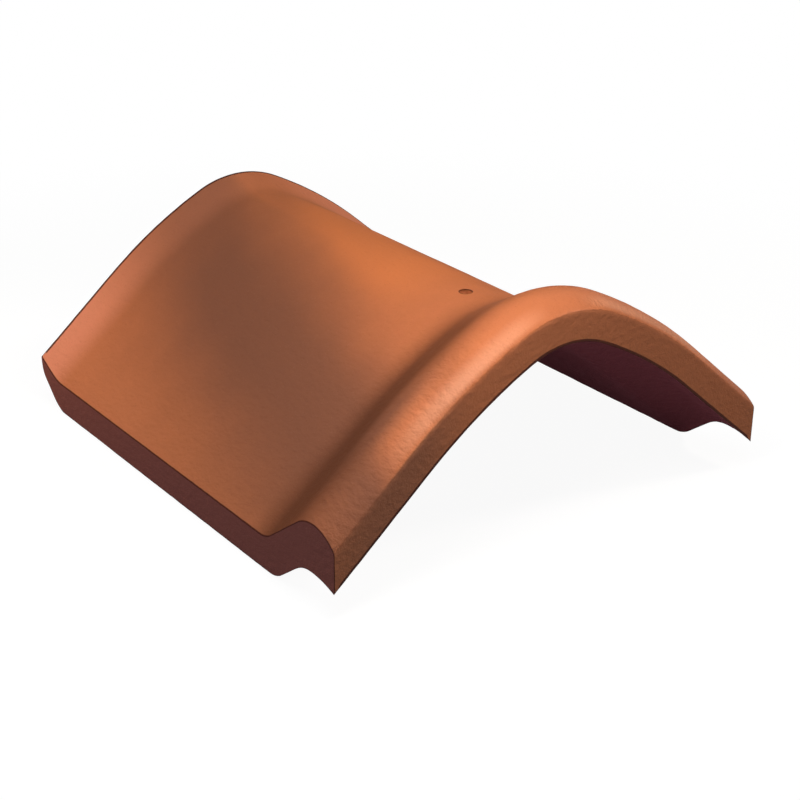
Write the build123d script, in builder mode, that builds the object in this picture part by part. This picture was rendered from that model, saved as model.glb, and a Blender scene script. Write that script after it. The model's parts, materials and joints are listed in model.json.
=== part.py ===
from build123d import *
import os
from math import asin, cos, degrees, radians, sin, tan

# Ridge tile of fired clay, made as one piece.
# +Y runs along the ridge from the collar to the tongue, +X across it and +Z up.
# The tile stands on the lower edges of its legs at Z = 0, centred over the origin.

# Overall sizes
width = 280.0
length = 311.0
wall = 14.0

# Arch of the body's inner face, from the crown down to straight legs
crown_radius = 42.0
crown_half_angle = 25.3
shoulder_radius = 260.0
leg_slope = 40.5

# Collar roll at the front end, raised over the body's outer face
roll_height = 20.2
roll_radius = 28.5
roll_crest_from_front = 17.7
roll_flank_angle = 30.0
roll_foot_radius = 22.0
roll_front_round = 2.0

# Hollow under the collar, which beds on the outer face of the next tile
hollow_crest_from_front = 19.5
hollow_radius = 27.0
hollow_flank_angle = 30.0
hollow_foot_radius = 21.5
hollow_lip_depth = 2.6

# Tongue at the back end, flared up and bevelled from below
flare_rise = 7.2
flare_angle = 20.0
flare_radius = 32.0
tongue_end_height = 6.9
tongue_bevel_angle = 36.0
tongue_bevel_round = 8.0
tongue_foot_radius = 25.0

# Nail hole through the crown
nail_hole_diameter = 6.5
nail_hole_from_front = 82.0

# Softened edges: the arrises of both ends, and the upper edges of the side faces
arris_chamfer = 0.6
side_edge_round = 1.2

# How far the swept legs run past the side faces before they are trimmed
trim_allowance = 10.0


def rise(radius, angle):
    return radius * (1 - cos(radians(angle)))


def run(radius, angle):
    return radius * sin(radians(angle))


# Arch: the shoulder starts where the crown ends, and the leg's lower edge lies at Z = 0
shoulder_turn = leg_slope - crown_half_angle
leg_start_x = run(crown_radius - shoulder_radius, crown_half_angle) + run(shoulder_radius, leg_slope)
leg_length = (width / 2 - leg_start_x + trim_allowance) / cos(radians(leg_slope))
leg_foot = (-width / 2 - trim_allowance, -trim_allowance * tan(radians(leg_slope)))

# Wall section: places along the ridge, and heights over the body's inner face
front = -length / 2
back = length / 2
roll_flank_rise = roll_height - rise(roll_radius + roll_foot_radius, roll_flank_angle)
roll_flank_length = roll_flank_rise / sin(radians(roll_flank_angle))
roll_back_run = run(roll_radius + roll_foot_radius, roll_flank_angle) + run(
    roll_flank_length, 90 - roll_flank_angle
)
roll_start = (front + roll_crest_from_front + roll_back_run, wall)
roll_front_turn = degrees(asin(roll_crest_from_front / roll_radius))
hollow_lip = (front, wall - hollow_lip_depth)
hollow_crest = (front + hollow_crest_from_front, wall)
hollow_flank_rise = wall - rise(hollow_radius + hollow_foot_radius, hollow_flank_angle)
hollow_flank_length = hollow_flank_rise / sin(radians(hollow_flank_angle))
tongue_tip = (back, wall + flare_rise)
tongue_corner = (back, wall + flare_rise - tongue_end_height)
bevel_foot = (back - tongue_corner[1] / tan(radians(tongue_bevel_angle)), 0)
flare_line_run = (flare_rise - rise(flare_radius, flare_angle)) / tan(radians(flare_angle))
flare_start = (back - flare_line_run - run(flare_radius, flare_angle), wall)

with BuildPart() as ridge_tile:
    # The arch is the path of the wall section, from the left leg to the right one
    with BuildLine(Plane.XZ) as arch:
        left_leg = PolarLine(leg_foot, leg_length, angle=leg_slope)
        left_shoulder = JernArc(left_leg @ 1, left_leg % 1, shoulder_radius, -shoulder_turn)
        crown = JernArc(left_shoulder @ 1, left_shoulder % 1, crown_radius, -2 * crown_half_angle)
        right_shoulder = JernArc(crown @ 1, crown % 1, shoulder_radius, -shoulder_turn)
        PolarLine(right_shoulder @ 1, leg_length, angle=-leg_slope)

    with BuildSketch(Plane(left_leg @ 0, x_dir=(0, 1, 0), z_dir=left_leg % 0)) as wall_section:
        with BuildLine():
            # Outer face, from the tongue's tip to the front of the collar
            flare_blend = JernArc(flare_start, (1, 0), flare_radius, flare_angle)
            Line(tongue_tip, flare_blend @ 1)
            body_top = Line(flare_start, roll_start)
            roll_foot = JernArc(roll_start, body_top % 1, roll_foot_radius, -roll_flank_angle)
            roll_flank = PolarLine(roll_foot @ 1, roll_flank_length, angle=180 - roll_flank_angle)
            roll_crest_turn = roll_flank_angle + roll_front_turn
            roll_crest = JernArc(roll_flank @ 1, roll_flank % 1, roll_radius, roll_crest_turn)
            Line(roll_crest @ 1, hollow_lip)

            # Inner face, from the collar's lip to the tongue's tip
            TangentArc(hollow_crest, hollow_lip, tangent=(-1, 0))
            hollow_back = JernArc(hollow_crest, (1, 0), hollow_radius, -hollow_flank_angle)
            hollow_flank = PolarLine(hollow_back @ 1, hollow_flank_length, angle=-hollow_flank_angle)
            hollow_foot = JernArc(hollow_flank @ 1, hollow_flank % 1, hollow_foot_radius, hollow_flank_angle)
            Line(hollow_foot @ 1, bevel_foot)
            Line(bevel_foot, tongue_corner)
            Line(tongue_corner, tongue_tip)
        make_face()

        front_corners = wall_section.vertices().group_by(Axis.X)[0].sort_by(Axis.Y)
        chamfer(front_corners[0], arris_chamfer)
        fillet(front_corners[-1], roll_front_round)
        back_corners = wall_section.vertices().group_by(Axis.X)[-1].sort_by(Axis.Y)
        fillet(back_corners[0], tongue_bevel_round)
        chamfer(back_corners[-1], arris_chamfer)
        bevel_corner = wall_section.vertices().sort_by_distance((*bevel_foot, 0))[0]
        fillet(bevel_corner, tongue_foot_radius)
    sweep(path=arch.line)

    # The legs are cut off upright at the tile's width
    split(bisect_by=Plane.YZ.offset(width / 2), keep=Keep.BOTTOM)
    split(bisect_by=Plane.YZ.offset(-width / 2), keep=Keep.TOP)

    # The side faces' upper edges are softened from the tongue's tip to the collar's lip
    for side_face in ridge_tile.faces().filter_by(Axis.X):
        upper_edge = side_face.edges().filter_by(Axis.Y).sort_by(Axis.Z)[-1]
        fillet(upper_edge, side_edge_round)

    # The nail hole goes straight down through the crown
    crown_top = ridge_tile.part.bounding_box().max.Z
    with Locations((0, front + nail_hole_from_front, crown_top)):
        Hole(nail_hole_diameter / 2)

ridge_tile.part.label = "ridge_tile"
os.makedirs("parts", exist_ok=True)
export_step(ridge_tile.part, "parts/ridge_tile.step")
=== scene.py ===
import json
from math import asin, ceil, cos, degrees, radians, sin, tan

import bmesh
import bpy
from mathutils import Matrix, Vector

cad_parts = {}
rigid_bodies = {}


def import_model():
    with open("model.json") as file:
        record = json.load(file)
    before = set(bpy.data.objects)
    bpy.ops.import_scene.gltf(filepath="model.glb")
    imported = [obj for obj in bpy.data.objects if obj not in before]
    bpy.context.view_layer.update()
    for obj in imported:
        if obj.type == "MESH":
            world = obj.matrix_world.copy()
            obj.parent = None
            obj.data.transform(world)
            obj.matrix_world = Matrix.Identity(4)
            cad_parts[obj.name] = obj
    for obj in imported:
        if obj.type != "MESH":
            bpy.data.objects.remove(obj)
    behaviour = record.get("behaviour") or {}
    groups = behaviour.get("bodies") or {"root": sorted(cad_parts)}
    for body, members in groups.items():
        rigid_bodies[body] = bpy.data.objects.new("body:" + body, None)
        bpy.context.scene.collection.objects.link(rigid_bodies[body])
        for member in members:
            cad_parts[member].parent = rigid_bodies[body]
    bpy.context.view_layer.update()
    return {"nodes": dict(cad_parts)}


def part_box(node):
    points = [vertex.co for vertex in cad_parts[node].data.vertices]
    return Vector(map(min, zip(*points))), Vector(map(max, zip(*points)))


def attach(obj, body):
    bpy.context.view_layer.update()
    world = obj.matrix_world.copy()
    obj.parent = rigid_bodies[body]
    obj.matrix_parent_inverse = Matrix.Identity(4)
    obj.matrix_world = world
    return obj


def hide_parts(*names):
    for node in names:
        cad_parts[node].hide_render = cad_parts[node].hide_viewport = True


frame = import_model()
print("frame loaded:", ", ".join(frame["nodes"]))


# Ridge tile: lengths in metres, angles in degrees
tile = {
    "wall": 0.014,
    "crownRadius": 0.042,  # inner face of the arch
    "crownHalfAngle": 25.3,
    "shoulderRadius": 0.260,
    "legSlope": 40.5,
    "rollHeight": 0.0202,  # collar roll, over the body's outer face
    "rollRadius": 0.0285,
    "rollCrestFromFront": 0.0177,
    "rollFlankAngle": 30,
    "rollFootRadius": 0.022,
    "rollFrontRound": 0.0020,
    "hollowCrestFromFront": 0.0195,  # hollow under the collar
    "hollowRadius": 0.027,
    "hollowFlankAngle": 30,
    "hollowFootRadius": 0.0215,
    "hollowLipDepth": 0.0026,
    "flareRise": 0.0072,  # tongue, flared above and bevelled below
    "flareAngle": 20,
    "flareRadius": 0.032,
    "tongueEndHeight": 0.0069,
    "tongueBevelAngle": 36,
    "tongueBevelRound": 0.008,
    "tongueFootRadius": 0.025,
    "nailHoleRadius": 0.00325,
    "nailHoleFromFront": 0.082,
    "nailHoleRim": 0.0003,
    "nailHoleSides": 48,
    "outerStep": 0.0017,  # mesh spacing on the weather side
    "innerStep": 0.0028,
    "archStep": 0.0018,
    "sideStep": 0.0035,
    "lipEdge": 0.0014,  # narrow strips of mesh beside the collar's lip and the tongue's tip
    "tipEdge": 0.0012,
    "arris": 0.0004,  # softened edges
    "arrisSegments": 3,
    "sharpFrom": 35,  # edges that turn by more than this are softened
    "smoothTo": 42,  # shading is smooth up to this
    "lumps": (0.030, 0.00030),  # size and depth of the pressed clay's unevenness
    "grain": (0.0065, 0.00018),
    "weld": 1e-6,  # points nearer than this are one
    "mirrorWeld": 1e-5,
}


def rise(radius, angle):
    return radius * (1 - cos(radians(angle)))


def reach(radius, angle):
    return radius * sin(radians(angle))


class SectionPen:
    # draws the wall section in the ridge plane, and leaves its last point selected
    def __init__(self, y, z, heading):
        self.y, self.z, self.heading = y, z, heading
        bpy.ops.object.select_all(action="DESELECT")
        bpy.ops.mesh.primitive_plane_add(size=tile["wall"])
        self.piece = bpy.context.object
        bpy.ops.object.mode_set(mode="EDIT")
        bpy.ops.mesh.select_mode(type="VERT")
        bpy.ops.mesh.merge(type="CENTER")  # the plane becomes one point
        bpy.ops.transform.translate(value=(0, y, z))

    def run(self, length, step):
        count = max(1, ceil(length / step))
        along = Vector((0, cos(radians(self.heading)), sin(radians(self.heading))))
        move = {"value": along * length / count}
        for part in range(count):
            bpy.ops.mesh.extrude_region_move(TRANSFORM_OT_translate=move)
        self.y += along.y * length
        self.z += along.z * length

    def turn(self, radius, angle, step):
        count = max(2, ceil(radius * radians(abs(angle)) / step))
        side = 1 if angle > 0 else -1
        inward = radians(self.heading + 90 * side)
        middle = Vector((0, self.y + radius * cos(inward), self.z + radius * sin(inward)))
        bpy.ops.mesh.spin(steps=count, angle=-radians(angle), center=middle, axis=(1, 0, 0))
        self.heading += angle
        outward = radians(self.heading - 90 * side)
        self.y = middle.y + radius * cos(outward)
        self.z = middle.z + radius * sin(outward)


def selectWhere(piece, kind, test):
    bpy.ops.mesh.select_all(action="DESELECT")
    mesh = bmesh.from_edit_mesh(piece.data)
    for part in getattr(mesh, kind):
        if test(part):
            part.select_set(True)
    mesh.select_flush_mode()
    bmesh.update_edit_mesh(piece.data)


def applyModifier(piece, kind, name, **settings):
    bpy.context.view_layer.objects.active = piece
    modifier = piece.modifiers.new(name, kind)
    for key, value in settings.items():
        setattr(modifier, key, value)
    bpy.ops.object.modifier_apply(modifier=name)


def drawWallSection(front, back, crownInner):
    t = tile
    wall, outer, inner = t["wall"], t["outerStep"], t["innerStep"]
    # collar roll: where its foot starts, and how far its crest turns before the front edge's round
    flankAngle, crestRun = t["rollFlankAngle"], t["rollCrestFromFront"]
    rollRadius, frontRound = t["rollRadius"], t["rollFrontRound"]
    arcs = rollRadius + t["rollFootRadius"]
    flank = (t["rollHeight"] - rise(arcs, flankAngle)) / sin(radians(flankAngle))
    rollBack = reach(arcs, flankAngle) + flank * cos(radians(flankAngle))
    rollStart = front + crestRun + rollBack
    frontTurn = degrees(asin((crestRun - frontRound) / (rollRadius - frontRound)))
    # hollow under the collar
    lipRun, lipDepth = t["hollowCrestFromFront"], t["hollowLipDepth"]
    lipRadius = (lipRun ** 2 + lipDepth ** 2) / (2 * lipDepth)
    lipAngle = degrees(asin(lipRun / lipRadius))
    hollowAngle = t["hollowFlankAngle"]
    hollowArcs = t["hollowRadius"] + t["hollowFootRadius"]
    hollowFlank = (wall - rise(hollowArcs, hollowAngle)) / sin(radians(hollowAngle))
    # tongue: flare above, bevel below
    flareAngle, bevelAngle = t["flareAngle"], t["tongueBevelAngle"]
    flareLine = (t["flareRise"] - rise(t["flareRadius"], flareAngle)) / sin(radians(flareAngle))
    flareRun = flareLine * cos(radians(flareAngle)) + reach(t["flareRadius"], flareAngle)
    flareStart = back - flareRun
    cornerHeight = wall + t["flareRise"] - t["tongueEndHeight"]
    bevelFoot = back - cornerHeight / tan(radians(bevelAngle))
    bevelLine = cornerHeight / sin(radians(bevelAngle))
    footCut = t["tongueFootRadius"] * tan(radians(bevelAngle / 2))
    cornerCut = t["tongueBevelRound"] * tan(radians(45 - bevelAngle / 2))

    # outer face from the flare to the collar's front
    pen = SectionPen(flareStart, crownInner + wall, 180)
    pen.run(flareStart - rollStart, outer)
    pen.turn(t["rollFootRadius"], -flankAngle, outer)
    pen.run(flank, outer)
    pen.turn(rollRadius, flankAngle + frontTurn, outer)
    pen.turn(frontRound, 90 - frontTurn, outer / 2)
    # front face, hollow and underside
    pen.run(pen.z - crownInner - wall + lipDepth - t["lipEdge"], outer)
    pen.run(t["lipEdge"], outer)
    pen.heading = lipAngle
    pen.turn(lipRadius, -lipAngle, inner)
    pen.turn(t["hollowRadius"], -hollowAngle, inner)
    pen.run(hollowFlank, inner)
    pen.turn(t["hollowFootRadius"], hollowAngle, inner)
    pen.run(bevelFoot - footCut - pen.y, inner)
    # tongue
    pen.turn(t["tongueFootRadius"], bevelAngle, inner)
    pen.run(bevelLine - footCut - cornerCut, inner)
    pen.turn(t["tongueBevelRound"], 90 - bevelAngle, inner)
    pen.run(crownInner + wall + t["flareRise"] - pen.z, inner / 2)
    pen.heading = 180 + flareAngle
    pen.run(t["tipEdge"], outer)
    pen.run(flareLine - t["tipEdge"], outer)
    pen.turn(t["flareRadius"], -flareAngle, outer)
    bpy.ops.mesh.select_all(action="SELECT")
    bpy.ops.mesh.remove_doubles(threshold=t["weld"])  # closes the section
    return pen.piece


def nailHoleCutter(front, crownInner):
    # a straight round bar that widens at the crown's top, for a slightly worn rim
    t = tile
    radius, rim, top = t["nailHoleRadius"], t["nailHoleRim"], crownInner + t["wall"]
    wornRim = ((-1.5, 0), (-0.5, 0.3), (2, 3))  # each ring's height and widening, in rims
    startBelow = 0.010
    y, height, spread = front + t["nailHoleFromFront"], crownInner - startBelow, radius
    bpy.ops.object.select_all(action="DESELECT")
    bpy.ops.mesh.primitive_circle_add(vertices=t["nailHoleSides"], radius=radius, fill_type="NGON")
    cutter = bpy.context.object
    cutter.name = "nailHoleCutter"
    bpy.ops.object.mode_set(mode="EDIT")
    bpy.ops.transform.translate(value=(0, y, height))
    for lift, widening in wornRim:
        nextHeight, nextSpread = top + lift * rim, radius + widening * rim
        move = {"value": (0, 0, nextHeight - height)}
        bpy.ops.mesh.extrude_region_move(TRANSFORM_OT_translate=move)
        ratio = nextSpread / spread
        bpy.ops.transform.resize(value=(ratio, ratio, 1), center_override=(0, y, nextHeight))
        height, spread = nextHeight, nextSpread
    bpy.ops.mesh.select_all(action="SELECT")
    bpy.ops.mesh.normals_make_consistent(inside=False)
    bpy.ops.object.mode_set(mode="OBJECT")
    return cutter


def modelRidgeTile():
    t = tile
    low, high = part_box("ridge_tile")
    halfWidth = (high.x - low.x) / 2
    crownAngle, slope = radians(t["crownHalfAngle"]), radians(t["legSlope"])
    crownRadius, shoulderRadius = t["crownRadius"], t["shoulderRadius"]
    legStart = (crownRadius - shoulderRadius) * sin(crownAngle) + shoulderRadius * sin(slope)
    legRun = (halfWidth - legStart) / cos(slope)
    shoulderRise = shoulderRadius * (cos(crownAngle) - cos(slope))
    crownInner = legRun * sin(slope) + shoulderRise + crownRadius * (1 - cos(crownAngle))

    piece = drawWallSection(low.y, high.y, crownInner)
    print("wall section drawn")

    # left half of the arch: crown and shoulder by spin, then the leg
    crownMiddle = Vector((0, 0, crownInner - crownRadius))
    outward = Vector((-sin(crownAngle), 0, cos(crownAngle)))
    shoulderMiddle = crownMiddle + (crownRadius - shoulderRadius) * outward
    down = Vector((-cos(slope), 0, -sin(slope)))
    shoulderTurn = slope - crownAngle
    outerCrown = (crownRadius + t["wall"] + t["rollHeight"]) * crownAngle
    outerShoulder = (shoulderRadius + t["wall"]) * shoulderTurn
    for length, angle, middle in (
        (outerCrown, crownAngle, crownMiddle),
        (outerShoulder, shoulderTurn, shoulderMiddle),
    ):
        steps = ceil(length / t["archStep"])
        bpy.ops.mesh.spin(steps=steps, angle=angle, center=middle, axis=(0, 1, 0))
    bpy.ops.mesh.extrude_region_move(TRANSFORM_OT_translate={"value": down * legRun})

    # the leg's end slides along the leg on to the upright side face, and the leg is divided
    mesh = bmesh.from_edit_mesh(piece.data)
    for point in mesh.verts:
        if point.select:
            point.co += down * ((-halfWidth - point.co.x) / down.x)
    bmesh.update_edit_mesh(piece.data)

    def atSide(point):
        return point.co.x < t["weld"] - halfWidth

    bpy.ops.mesh.select_mode(type="EDGE")
    selectWhere(piece, "edges", lambda edge: atSide(edge.verts[0]) != atSide(edge.verts[1]))
    bpy.ops.mesh.subdivide(number_cuts=ceil(legRun / t["archStep"]) - 1)

    # side face, and softened arrises all round
    selectWhere(piece, "edges", lambda edge: atSide(edge.verts[0]) and atSide(edge.verts[1]))
    bpy.ops.mesh.edge_face_add()
    bpy.ops.mesh.select_all(action="SELECT")
    bpy.ops.mesh.normals_make_consistent(inside=False)
    bpy.ops.mesh.select_all(action="DESELECT")
    bpy.ops.mesh.edges_select_sharp(sharpness=radians(t["sharpFrom"]))
    bpy.ops.mesh.bevel(
        offset=t["arris"], segments=t["arrisSegments"], affect="EDGES", clamp_overlap=True
    )
    bpy.ops.object.vertex_group_assign_new()  # kept for the painted shade on the edges
    piece.vertex_groups.active.name = "softEdges"
    bpy.ops.mesh.select_more()
    bpy.ops.object.vertex_group_assign_new()
    piece.vertex_groups.active.name = "besideEdges"
    piece.vertex_groups.active = piece.vertex_groups["softEdges"]

    # a grid on the side face, inside a narrow rim
    bpy.ops.mesh.select_mode(type="FACE")
    selectWhere(piece, "faces", lambda face: all(atSide(point) for point in face.verts))
    bpy.ops.mesh.inset(thickness=t["arris"] / 4)
    bpy.ops.object.vertex_group_remove_from()  # the side face itself is no edge
    bpy.ops.mesh.hide(unselected=True)
    for axis, lowest, highest in ((1, low.y, high.y), (2, low.z, high.z)):
        count = ceil((highest - lowest) / t["sideStep"])
        for part in range(1, count):
            place, normal = Vector(), Vector()
            place[axis] = lowest + (highest - lowest) * part / count
            normal[axis] = 1
            bpy.ops.mesh.select_all(action="SELECT")
            bpy.ops.mesh.bisect(plane_co=place, plane_no=normal, threshold=t["weld"] / 10)
    bpy.ops.mesh.reveal(select=False)
    bpy.ops.object.mode_set(mode="OBJECT")
    piece.name = piece.data.name = "ridgeTile"
    print("left half swept:", len(piece.data.polygons), "faces")

    # the right half is its mirror, and the nail hole goes through both
    sideways = (True, False, False)
    applyModifier(
        piece, "MIRROR", "rightHalf", use_axis=sideways, merge_threshold=t["mirrorWeld"]
    )
    bpy.ops.object.mode_set(mode="EDIT")
    bpy.ops.mesh.select_all(action="SELECT")
    bpy.ops.mesh.remove_doubles(threshold=t["weld"])
    bpy.ops.mesh.normals_make_consistent(inside=False)
    bpy.ops.object.mode_set(mode="OBJECT")
    cutter = nailHoleCutter(low.y, crownInner)
    applyModifier(piece, "BOOLEAN", "nailHole", object=cutter, solver="EXACT")
    bpy.data.objects.remove(cutter)

    # unevenness of the pressed clay, always inwards, so that the tile keeps its size
    for name in ("lumps", "grain"):
        size, depth = t[name]
        texture = bpy.data.textures.new(name, "CLOUDS")
        texture.noise_scale = size
        texture.noise_depth = 2
        applyModifier(
            piece,
            "DISPLACE",
            name,
            texture=texture,
            texture_coords="LOCAL",
            strength=depth,
            mid_level=1.0,
        )

    bpy.ops.object.select_all(action="DESELECT")
    piece.select_set(True)
    bpy.context.view_layer.objects.active = piece
    bpy.ops.object.shade_smooth_by_angle(angle=radians(t["smoothTo"]))
    triangles = sum(len(face.vertices) - 2 for face in piece.data.polygons)
    print("ridge tile modelled:", triangles, "triangles")
    return piece


# Where the clay is bare or carries painted shade: parts of a face's normal, lengths in metres
clayMarks = {
    "cutFacing": 0.97,  # faces that look sideways are cut
    "underFacing": -0.1,  # faces that look down got no slip, and carry painted shade
    "rimFacing": 0.2,  # faces of the nail hole that look up are its rim
    "holeWall": 0.4,  # painted shade on the hole's wall, against 1 at the rim
    "lipReach": 0.0007,  # painted shade in a strip at the collar's lip
    "tipReach": 0.0014,  # and at the tongue's tip
    "sideGap": 0.0025,  # both end short of the side faces
}


def markClay(piece):
    m = clayMarks
    mesh = piece.data
    low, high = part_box("ridge_tile")
    holeAt = Vector((0, low.y + tile["nailHoleFromFront"]))
    holeReach = tile["nailHoleRadius"] + tile["nailHoleRim"]
    names = ("bareClayAndShade", "cutClay", "arris")
    marks = {name: [0] * len(mesh.vertices) for name in names}
    faceCount = [0] * len(mesh.vertices)
    # bare clay with painted shade: the underside and the cut sides, which cutClay marks by
    # themselves
    for face in mesh.polygons:
        inHole = (face.center.xy - holeAt).length < holeReach
        cut = abs(face.normal.x) > m["cutFacing"] and not inHole
        edgeShade = 1 if face.normal.z > m["rimFacing"] else m["holeWall"]
        for index in face.vertices:
            faceCount[index] += 1
            marks["cutClay"][index] += cut
            marks["bareClayAndShade"][index] += cut or face.normal.z < m["underFacing"]
            marks["arris"][index] += inHole * edgeShade
    for values in marks.values():
        values[:] = [total / count for total, count in zip(values, faceCount)]

    # arris: painted shade on the softened edges, on strips at the collar's lip and the tongue's
    # tip, and in the nail hole
    edges = piece.vertex_groups["softEdges"].index
    beside = piece.vertex_groups["besideEdges"].index
    for point in mesh.vertices:
        groups = [member.group for member in point.groups]
        atLip = point.co.y < low.y + m["lipReach"]
        atTip = point.co.y > high.y - m["tipReach"]
        inside = abs(point.co.x) < high.x - m["sideGap"]
        if edges in groups or (beside in groups and inside and (atLip or atTip)):
            marks["arris"][point.index] = 1
    piece.vertex_groups.clear()
    for name, values in marks.items():
        attribute = mesh.attributes.new(name, "FLOAT", "POINT")
        attribute.data.foreach_set("value", values)
    print("clay marked:", ", ".join(names))


class Wire:
    # a socket that does sums: each operator adds one Math node
    def __init__(self, paint, socket):
        self.paint, self.socket = paint, socket

    def sums(self, operation, *values):
        return self.paint.node("ShaderNodeMath", {"operation": operation}, dict(enumerate(values)))

    def other(self, name):
        return Wire(self.paint, self.socket.node.outputs[name])

    def __add__(self, value):
        return self.sums("ADD", self, value)

    def __radd__(self, value):
        return self.sums("ADD", value, self)

    def __sub__(self, value):
        return self.sums("SUBTRACT", self, value)

    def __rsub__(self, value):
        return self.sums("SUBTRACT", value, self)

    def __mul__(self, value):
        return self.sums("MULTIPLY", self, value)

    def __rmul__(self, value):
        return self.sums("MULTIPLY", value, self)

    def __abs__(self):
        return self.sums("ABSOLUTE", self)


class Paint:
    # the nodes of one material or world
    def __init__(self, owner):
        owner.use_nodes = True
        self.tree = owner.node_tree
        self.tree.nodes.clear()

    def node(self, kind, settings, inputs, output=0):
        made = self.tree.nodes.new(kind)
        for key, value in settings.items():
            setattr(made, key, value)
        for key, value in inputs.items():
            if isinstance(value, Wire):
                self.tree.links.new(value.socket, made.inputs[key])
            else:
                made.inputs[key].default_value = value
        return Wire(self, made.outputs[output]) if made.outputs else made

    def mix(self, factor, first, second):
        colours = {0: factor, 6: first, 7: second}  # the colour sockets of a Mix node
        return self.node("ShaderNodeMix", {"data_type": "RGBA"}, colours, 2)

    def smooth(self, value, low, high):
        return self.node(
            "ShaderNodeMapRange",
            {"interpolation_type": "SMOOTHSTEP"},
            {"Value": value, "From Min": low, "From Max": high},
        )

    def window(self, value, start, full, fade, end):
        return self.smooth(value, start, full) * (1 - self.smooth(value, fade, end))


# Fired clay: linear colours, places in metres, depths from 0 to 1
# along is measured from the tile's middle to the tongue, across from the ridge to a side
clay = {
    "slip": (0.60, 0.190, 0.080, 1),  # orange slip on the weather side
    "paleSlip": (0.74, 0.234, 0.098, 1),  # painted light low on the legs and on the collar, and pale flecks of mottling
    "crownLight": (0.81, 0.240, 0.084, 1),  # painted light along the crown
    "bandShade": (0.270, 0.106, 0.063, 1),  # painted shade in a slanting band on the legs
    "shadeAndPits": (0.145, 0.049, 0.024, 1),  # painted shade behind the roll and round the nail hole, and the dark pits in the sand
    "flareLight": (0.92, 0.312, 0.170, 1),  # painted light on the tongue's flare
    "dustAndHighlight": (0.80, 0.34, 0.19, 1),  # painted highlight on the roll's front edge, and dust on the front face
    "cut": (0.305, 0.101, 0.080, 1),  # body of the clay on the cut sides, partly painted shade
    "under": (0.48, 0.134, 0.174, 1),  # and on the underside, purple-brown, also partly painted shade
    "arris": (0.075, 0.021, 0.016, 1),  # painted shade on the edges
    "sandGrain": (0.78, 0.36, 0.19, 1),
    "drift": {"scale": 11, "detail": 2, "roughness": 0.55},  # noise, in waves per metre
    "mottle": {"scale": 75, "detail": 4, "roughness": 0.6},
    "peel": {"scale": 310, "detail": 2, "roughness": 0.5, "stretch": (1, 0.6, 1)},
    "sand": {"scale": 1300, "detail": 2, "roughness": 0.6},
    "wander": {"along": 0.010, "across": 0.012},  # how far the tones' borders drift
    "bareBorder": {"ragged": 0.5, "from": (0.35, 0.65)},
    "arrisBorder": {"ragged": 0.4, "from": (0.55, 0.95), "depth": 0.92},
    # painted shade in a ring round the nail hole
    "holeRing": {
        "around": (-0.0004, 0.0000, 0.0004, 0.0008),  # from the hole's wall
        "below": (0.0011, 0.0007),  # from the crown's top
        "depth": 0.75,
    },
    "dustedFront": {"along": (-0.1553, -0.1546), "depth": 0.22},
    "rightSide": (-0.010, 0.020),  # from left to right over the ridge
    # painted shade: a dark band slanting along each leg
    "shadeBand": {
        "centre": 0.0725,  # across, at the tile's middle
        "slant": -0.235,
        "rightShift": 0.075,  # the right leg's band lies lower
        "wander": 0.035,
        "reach": (-0.060, -0.006, 0.006, 0.068),  # from the band's centre
        "thinAlong": (0.080, 0.125),
        "thinning": 0.14,
        "depth": 0.90,
    },
    "litLegs": {"offset": (0.050, 0.085), "depth": 0.75},  # painted light, below the shade band
    # painted shade in the groove behind the collar roll
    "grooveShade": {
        "along": (-0.145, -0.113, -0.104, -0.080),
        "across": (0.005, 0.040),
        "atCrown": 0.6,
        "underHighlightAlong": (-0.130, -0.116),
        "underHighlight": 0.6,  # less painted shade where the collar carries painted light
        "depth": 0.84,
    },
    # painted light on the tongue's flare, strongest on the legs
    "litFlare": {
        "along": (0.126, 0.146),
        "across": (0.050, 0.130),
        "rightShift": 0.045,
        "depth": (0.16, 1.0),  # at the crown and on the legs
    },
    # painted highlight on the collar roll
    "collarHighlight": {
        "along": (-0.1553, -0.1540, -0.147, -0.130),
        "across": (0.060, 0.088, 0.098, 0.120),
        "depth": 0.85,
    },
    # painted highlight along the roll's front edge
    "edgeHighlight": {
        "along": (-0.1545, -0.1518, -0.1505, -0.1430),
        "across": (0.008, 0.034, 0.086, 0.112),
        "depth": 0.65,
    },
    # painted light along the crown, leaning to the right
    "litCrown": {
        "along": (-0.085, -0.020, 0.090, 0.138),
        "across": (0.012, 0.040),
        "leanAlong": (-0.020, 0.140),
        "lean": 0.042,  # to the right, towards the tongue
        "depth": 0.95,
    },
    "mottling": {"from": (0.42, 0.78), "depth": 0.25},
    "grains": {"from": (0.60, 0.78), "depth": 0.14},
    "pits": {"from": (0.40, 0.24), "depth": 0.20},
    "roughness": {"slip": 0.62, "mottle": 0.12, "bare": 0.15, "bandShade": 0.10},
    "specular": 0.01,
    "burnish": {"along": (-0.146, -0.132), "depth": 0.12, "roughness": 0.34},  # smoother roll
    "relief": {
        "strength": 0.85,
        "distance": 0.0010,
        "peel": {"slip": 0.60, "bare": 0.1, "front": -0.15, "roll": 0.5},
        "sand": {"slip": 0.2, "bare": 0.1},
        "rollAlong": (-0.140, -0.122),
    },
}


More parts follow.
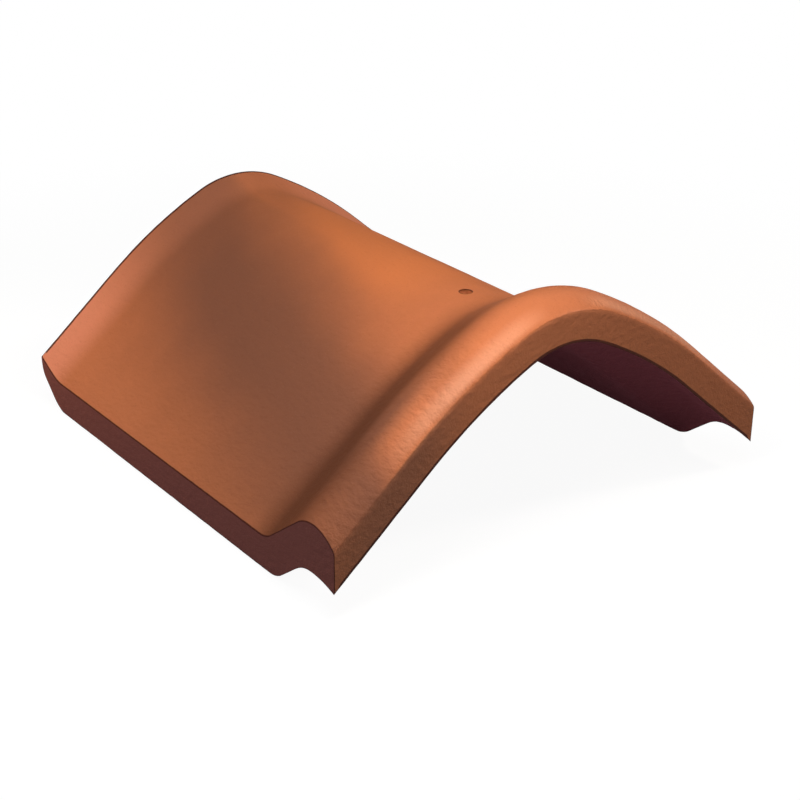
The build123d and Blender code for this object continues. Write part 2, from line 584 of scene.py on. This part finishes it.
def paintFiredClay(piece):
    c = clay
    material = bpy.data.materials.new("firedClay")
    paint = Paint(material)
    smooth, window, mix = paint.smooth, paint.window, paint.mix
    place = paint.node("ShaderNodeTexCoord", {}, {}, "Object")
    along = paint.node("ShaderNodeSeparateXYZ", {}, {0: place}, "Y")
    sideways, upward = along.other("X"), along.other("Z")
    across = abs(sideways)

    def noise(name):
        values = c[name]
        stretch = values.get("stretch", (1, 1, 1))
        spot = paint.node("ShaderNodeMapping", {}, {"Vector": place, "Scale": stretch})
        inputs = {
            "Vector": spot,
            "Scale": values["scale"],
            "Detail": values["detail"],
            "Roughness": values["roughness"],
        }
        return paint.node("ShaderNodeTexNoise", {}, inputs, "Fac")

    def mark(name):
        return paint.node("ShaderNodeAttribute", {"attribute_name": name}, {}, "Fac")

    drift, mottle, peel, sand = noise("drift") - 0.5, noise("mottle"), noise("peel"), noise("sand")
    driftAlong = along + drift * c["wander"]["along"]
    driftAcross = across + drift * c["wander"]["across"]

    # bare clay with painted shade, painted shade on the edges, the dusted front face, and a
    # painted shade ring round the nail hole
    border, edgeShade, dust, ring = c["bareBorder"], c["arrisBorder"], c["dustedFront"], c["holeRing"]
    ragged = mottle - 0.5
    bare = smooth(mark("bareClayAndShade") + ragged * border["ragged"], *border["from"])
    edge = smooth(mark("arris") + ragged * edgeShade["ragged"], *edgeShade["from"])
    front = 1 - smooth(along, *dust["along"])
    low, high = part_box("ridge_tile")
    holeAt = (0, low.y + tile["nailHoleFromFront"], 0)
    crownTop = high.z - tile["rollHeight"]
    flat = paint.node("ShaderNodeVectorMath", {"operation": "MULTIPLY"}, {0: place, 1: (1, 1, 0)})
    fromHole = paint.node(
        "ShaderNodeVectorMath", {"operation": "DISTANCE"}, {0: flat, 1: holeAt}, "Value"
    )
    aroundHole = window(fromHole - tile["nailHoleRadius"], *ring["around"])
    aroundHole = aroundHole * smooth(upward, *[crownTop - depth for depth in ring["below"]])

    # painted shade: a slanting dark band on each leg, and a dark groove behind the roll
    band, groove, collar = c["shadeBand"], c["grooveShade"], c["collarHighlight"]
    onRight = smooth(sideways, *c["rightSide"])
    bandCentre = along * band["slant"] + band["centre"]
    offset = across - onRight * band["rightShift"] - bandCentre + drift * band["wander"]
    thinned = 1 - smooth(along, *band["thinAlong"]) * band["thinning"]
    bandShade = window(offset, *band["reach"]) * thinned * band["depth"]
    collarLitAcross = window(driftAcross, *collar["across"])
    atCrown = groove["atCrown"]
    shadeAndPits = window(driftAlong, *groove["along"]) * groove["depth"]
    shadeAndPits = shadeAndPits * (atCrown + smooth(across, *groove["across"]) * (1 - atCrown))
    shadeAndPits = shadeAndPits * (1 - collarLitAcross * (1 - smooth(along, *groove["underHighlightAlong"])) * groove["underHighlight"])

    # painted light: on the tongue's flare, on the collar and its front edge, along the crown and
    # low on the legs
    flare, rim, crown, leg = c["litFlare"], c["edgeHighlight"], c["litCrown"], c["litLegs"]
    atCrown, onLegs = flare["depth"]
    toLeg = smooth(across + onRight * flare["rightShift"], *flare["across"])
    flareLight = smooth(driftAlong, *flare["along"]) * (atCrown + toLeg * (onLegs - atCrown))
    collarLit = window(along, *collar["along"]) * collarLitAcross * collar["depth"]
    dustAndHighlight = window(along, *rim["along"]) * window(driftAcross, *rim["across"]) * rim["depth"]
    lean = smooth(along, *crown["leanAlong"]) * crown["lean"]
    aside = abs(sideways - lean) + drift * c["wander"]["across"]
    crownLight = window(driftAlong, *crown["along"]) * crown["depth"]
    crownLight = crownLight * (1 - smooth(aside, *crown["across"]))
    pale = smooth(offset, *leg["offset"]) * leg["depth"]

    def speckle(value, name):
        return smooth(value, *c[name]["from"]) * c[name]["depth"]

    # painted light low on the legs
    tone = mix(pale, c["slip"], c["paleSlip"])
    tone = mix(speckle(mottle, "mottling"), tone, c["paleSlip"])
    # painted light along the crown
    tone = mix(crownLight, tone, c["crownLight"])
    # painted shade in a band on each leg
    tone = mix(bandShade, tone, c["bandShade"])
    # painted shade behind the roll
    tone = mix(shadeAndPits, tone, c["shadeAndPits"])
    # painted light on the tongue's flare
    tone = mix(flareLight, tone, c["flareLight"])
    # painted highlight on the collar
    tone = mix(collarLit, tone, c["paleSlip"])
    # painted highlight on the roll's front edge
    tone = mix(dustAndHighlight, tone, c["dustAndHighlight"])
    tone = mix(front * dust["depth"], tone, c["dustAndHighlight"])
    # bare clay on the underside and cut sides, partly painted shade
    tone = mix(bare, tone, mix(mark("cutClay"), c["under"], c["cut"]))
    tone = mix(speckle(sand, "grains"), tone, c["sandGrain"])
    tone = mix(speckle(sand, "pits"), tone, c["shadeAndPits"])
    # painted shade on the edges
    tone = mix(edge * edgeShade["depth"], tone, c["arris"])
    # painted shade round the nail hole
    tone = mix(aroundHole * ring["depth"], tone, c["shadeAndPits"])

    rough, gloss, relief = c["roughness"], c["burnish"], c["relief"]
    roughness = rough["slip"] + mottle * rough["mottle"]
    roughness = roughness + bare * rough["bare"] + bandShade * rough["bandShade"]
    coat = (1 - smooth(along, *gloss["along"])) * (1 - bare) * gloss["depth"]
    onRoll = (1 - smooth(along, *relief["rollAlong"])) * (1 - front)
    peels, sands = relief["peel"], relief["sand"]
    peelDepth = peels["slip"] + bare * peels["bare"]
    peelDepth = peelDepth + front * peels["front"] + onRoll * peels["roll"]
    height = peel * peelDepth + sand * (sands["slip"] + bare * sands["bare"])
    normal = paint.node(
        "ShaderNodeBump",
        {},
        {"Strength": relief["strength"], "Distance": relief["distance"], "Height": height},
        "Normal",
    )
    surface = paint.node(
        "ShaderNodeBsdfPrincipled",
        {},
        {
            "Base Color": tone,
            "Roughness": roughness,
            "Normal": normal,
            "Specular IOR Level": c["specular"],
            "Coat Weight": coat,
            "Coat Roughness": gloss["roughness"],
        },
    )
    paint.node("ShaderNodeOutputMaterial", {}, {"Surface": surface})
    piece.data.materials.clear()
    piece.data.materials.append(material)


ridgeTile = modelRidgeTile()
markClay(ridgeTile)
paintFiredClay(ridgeTile)
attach(ridgeTile, "root")
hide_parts("ridge_tile")
print("ridge tile painted")


# Studio: white floor and backdrop, soft lamps, and the photograph's camera
studio = {
    "white": (1, 1, 1, 1),
    "floorSize": 8,
    "floorBounce": 0.25,  # what the floor throws back on to the tile
    "floorGlow": 0.03,  # soft light from below
    "floorShade": 0.12,  # how much a shadow shows on the white floor
    "floorLit": 0.5,  # how bright the lamps make a white floor
    "shadeReach": (0.30, 0.62),  # past this the floor is plain white
    "fill": (0.75, 0.8, 1, 1),
    "fillStrength": 0.01,
    "aim": (-0.02, -0.02, 0.07),
    "lamps": {
        "top": {
            "place": (-0.225, -0.223, 0.916),
            "size": 0.60,
            "power": 2.5,
            "colour": (0.8, 0.92, 1),
        },
        "key": {
            "place": (0.990, -0.650, 1.140),
            "size": 0.30,
            "power": 8.2,
            "colour": (1, 0.9, 0.8),
        },
        "back": {
            "place": (-0.260, 0.250, 0.160),
            "size": 0.12,
            "power": 0.216,
            "colour": (1, 0.8, 0.62),
        },
        "collar": {
            "place": (-0.106, -0.188, 0.276),
            "size": 0.08,
            "power": 0.314,
            "colour": (1, 0.88, 0.74),
        },
        "left": {
            "place": (-0.750, -0.120, 0.170),
            "size": 0.30,
            "power": 0.75,
            "colour": (0.7, 0.82, 1),
        },
    },
    "camera": {
        "place": (-0.51565, -0.71426, 0.42525),
        "azimuth": -36.46,
        "elevation": 24.697,
        "roll": 0.42,
        "lens": 75.62,
        "sensor": 36,
        "clipEnd": 100,
    },
}


def seenRays(paint):
    # rays that show the white background: straight from the camera, or by reflection or glass
    path = paint.node("ShaderNodeLightPath", {}, {}, "Is Camera Ray")
    return path + path.other("Is Glossy Ray") + path.other("Is Transmission Ray")


def layFloor():
    s = studio
    bpy.ops.object.select_all(action="DESELECT")
    bpy.ops.mesh.primitive_plane_add(size=s["floorSize"], location=(0, 0, 0))
    floor = bpy.context.object
    floor.name = "floor"
    material = bpy.data.materials.new("floorWhite")
    paint = Paint(material)

    def matt(grey):
        return paint.node("ShaderNodeBsdfDiffuse", {}, {"Color": (grey, grey, grey, 1)})

    def glow(strength):
        return paint.node("ShaderNodeEmission", {}, {"Color": s["white"], "Strength": strength})

    def both(first, second):
        return paint.node("ShaderNodeAddShader", {}, {0: first, 1: second})

    place = paint.node("ShaderNodeTexCoord", {}, {}, "Object")
    away = paint.node("ShaderNodeVectorMath", {"operation": "LENGTH"}, {0: place}, "Value")
    lit = both(matt(s["floorBounce"]), glow(s["floorGlow"]))
    near = both(matt(s["floorShade"]), glow(1 - s["floorLit"] * s["floorShade"]))
    plain = paint.smooth(away, *s["shadeReach"])
    shown = paint.node("ShaderNodeMixShader", {}, {0: plain, 1: near, 2: glow(1)})
    surface = paint.node("ShaderNodeMixShader", {}, {0: seenRays(paint), 1: lit, 2: shown})
    paint.node("ShaderNodeOutputMaterial", {}, {"Surface": surface})
    floor.data.materials.append(material)
    print("floor laid")


def setLamps():
    s = studio
    world = bpy.data.worlds.new("studio")
    paint = Paint(world)
    fill = paint.node(
        "ShaderNodeBackground", {}, {"Color": s["fill"], "Strength": s["fillStrength"]}
    )
    white = paint.node("ShaderNodeBackground", {}, {"Color": s["white"], "Strength": 1})
    shown = paint.node("ShaderNodeMixShader", {}, {0: seenRays(paint), 1: fill, 2: white})
    paint.node("ShaderNodeOutputWorld", {}, {"Surface": shown})
    bpy.context.scene.world = world

    for name, lamp in s["lamps"].items():
        place = Vector(lamp["place"])
        bpy.ops.object.light_add(type="AREA", location=place)
        light = bpy.context.object
        light.name = name + "Lamp"
        light.rotation_euler = (place - Vector(s["aim"])).to_track_quat("Z", "Y").to_euler()
        light.data.shape = "DISK"
        light.data.size = lamp["size"]
        light.data.energy = lamp["power"]
        light.data.color = lamp["colour"]
        light.visible_camera = False
    print("studio lit")


def placeCamera():
    c = studio["camera"]
    azimuth, elevation, roll = [radians(c[name]) for name in ("azimuth", "elevation", "roll")]
    out = Vector((sin(azimuth) * cos(elevation), -cos(azimuth) * cos(elevation), sin(elevation)))
    right = Vector((cos(azimuth), sin(azimuth), 0))
    up = out.cross(right)
    turnedRight = cos(roll) * right + sin(roll) * up
    turnedUp = cos(roll) * up - sin(roll) * right
    turn = Matrix((turnedRight, turnedUp, out)).transposed().to_4x4()
    bpy.ops.object.camera_add()
    camera = bpy.context.object
    camera.matrix_world = Matrix.Translation(c["place"]) @ turn
    camera.data.sensor_fit = "HORIZONTAL"
    camera.data.sensor_width = c["sensor"]
    camera.data.lens = c["lens"]
    camera.data.clip_end = c["clipEnd"]
    bpy.context.scene.camera = camera
    bpy.context.scene.view_settings.view_transform = "Standard"
    print("camera placed")


layFloor()
setLamps()
placeCamera()
